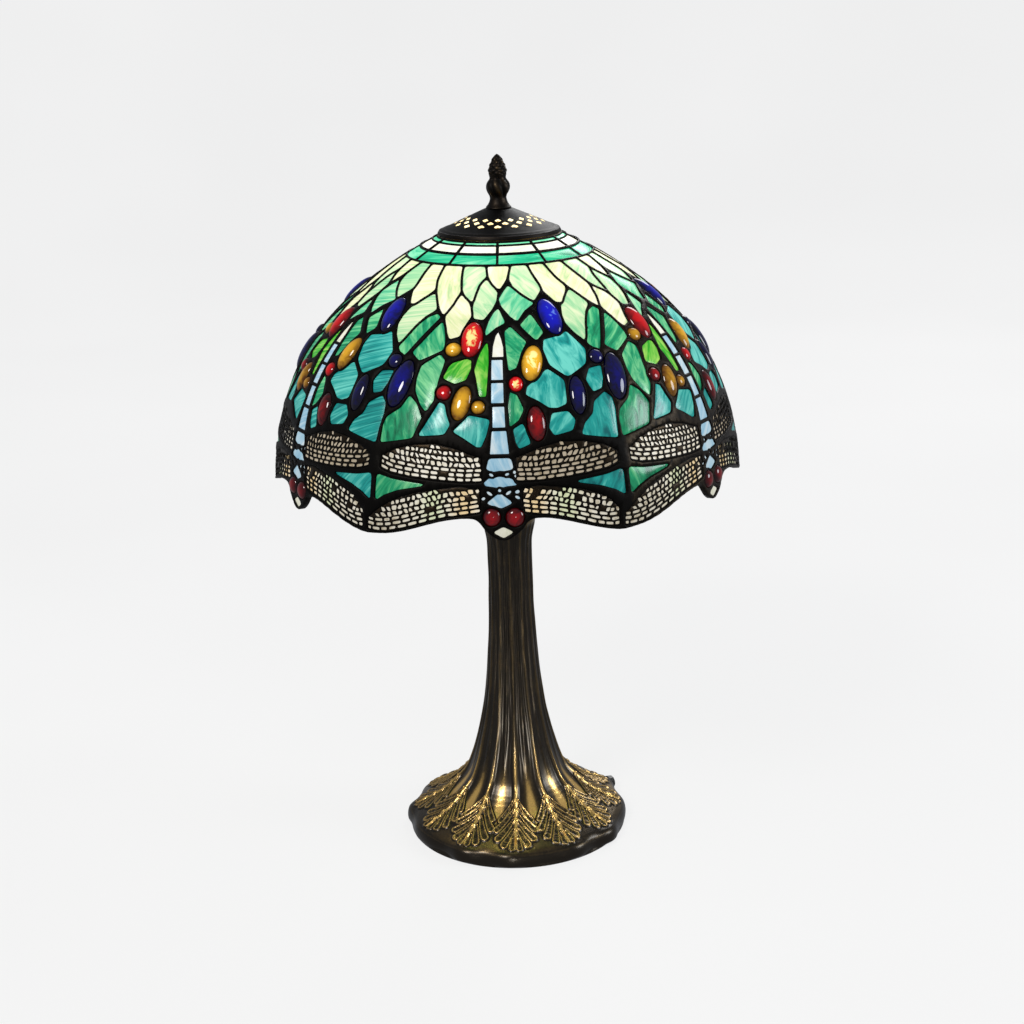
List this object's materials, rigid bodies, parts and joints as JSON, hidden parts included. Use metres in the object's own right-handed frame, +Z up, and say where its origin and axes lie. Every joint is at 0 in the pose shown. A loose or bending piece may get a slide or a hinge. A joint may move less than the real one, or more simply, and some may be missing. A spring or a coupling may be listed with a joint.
{
  "type": "table lamp",
  "caption": "Table lamp with a domed leaded-glass dragonfly shade on a ribbed tree-trunk base, with harp, socket, bulb, pierced heat cap and finial.",
  "frame": {"origin": "centre of the face that the lamp rests on, on the lamp's axis", "axes": "+Z up along the lamp's axis, -Y towards the front dragonfly, +X to its right"},
  "size_m": [0.3056, 0.3024, 0.462],
  "materials": {
    "felt": "green felt",
    "bronze": "dark bronze patina with rubbed gold high points",
    "steel": "zinc-plated",
    "black_plastic": "moulded",
    "brass": "lacquered",
    "fibre": "fibre tube",
    "porcelain": "glazed",
    "tin": "rolled",
    "bulb": "frosted, lit",
    "cream_glass": "streaky opalescent",
    "green_glass": "streaky opalescent",
    "teal_glass": "streaky opalescent",
    "blue_glass": "streaky opalescent",
    "wing_glass": "opalescent under a pierced brass filigree"
  },
  "bodies": {
    "stand": {"felt_pad": "felt", "bottom_plate": "steel", "base_casting": "bronze", "cord_bushing": "black_plastic", "pipe_nut": "steel", "lamp_pipe": "steel", "neck_cap": "bronze", "harp_saddle": "brass", "harp": "brass", "harp_stud": "brass", "socket_cap": "brass", "socket_shell": "brass", "socket_liner": "fibre", "socket_block": "porcelain", "screw_shell": "tin"},
    "shade": {"aperture_ring": "brass", "spider": "brass", "cap_riser": "brass", "heat_cap": "bronze", "top_band_upper": "cream_glass", "top_band_lower": "green_glass", "field_glass_1": "green_glass", "field_glass_2": "green_glass", "field_glass_3": "green_glass", "field_glass_4": "green_glass", "field_glass_5": "green_glass", "field_glass_6": "green_glass", "dragonfly_body_1": "blue_glass", "dragonfly_body_2": "blue_glass", "dragonfly_body_3": "blue_glass", "dragonfly_body_4": "blue_glass", "dragonfly_body_5": "blue_glass", "dragonfly_body_6": "blue_glass", "wings_left_1": "wing_glass", "wings_left_2": "wing_glass", "wings_left_3": "wing_glass", "wings_left_4": "wing_glass", "wings_left_5": "wing_glass", "wings_left_6": "wing_glass", "wings_right_1": "wing_glass", "wings_right_2": "wing_glass", "wings_right_3": "wing_glass", "wings_right_4": "wing_glass", "wings_right_5": "wing_glass", "wings_right_6": "wing_glass", "corner_glass_1": "teal_glass", "corner_glass_2": "teal_glass", "corner_glass_3": "teal_glass", "corner_glass_4": "teal_glass", "corner_glass_5": "teal_glass", "corner_glass_6": "teal_glass"},
    "finial": {"finial": "bronze"},
    "bulb": {"bulb_base": "tin", "bulb_glass": "bulb"},
    "switch": {"switch_spindle": "brass", "switch_knob": "black_plastic"},
    "ferrule_left": {"harp_ferrule_left": "brass"},
    "ferrule_right": {"harp_ferrule_right": "brass"}
  },
  "joints": [
    {"name": "shade_turn", "type": "hinge", "parent": "stand", "child": "shade", "pos_m": [0, 0, 0.41], "axis": [0, 0, 1], "continuous": true},
    {"name": "finial_unscrew", "type": "hinge", "parent": "stand", "child": "finial", "pos_m": [0, 0, 0.44], "axis": [0, 0, 1], "continuous": true},
    {"name": "bulb_unscrew", "type": "hinge", "parent": "stand", "child": "bulb", "pos_m": [0, 0, 0.27], "axis": [0, 0, 1], "continuous": true},
    {"name": "switch_turn", "type": "hinge", "parent": "stand", "child": "switch", "pos_m": [0, -0.03, 0.256], "axis": [0, -1, 0], "continuous": true},
    {"name": "ferrule_left_lift", "type": "slide", "parent": "stand", "child": "ferrule_left", "axis": [0, 0, 1], "range_m": [0, 0.012]},
    {"name": "ferrule_right_lift", "type": "slide", "parent": "stand", "child": "ferrule_right", "axis": [0, 0, 1], "range_m": [0, 0.012]}
  ]
}
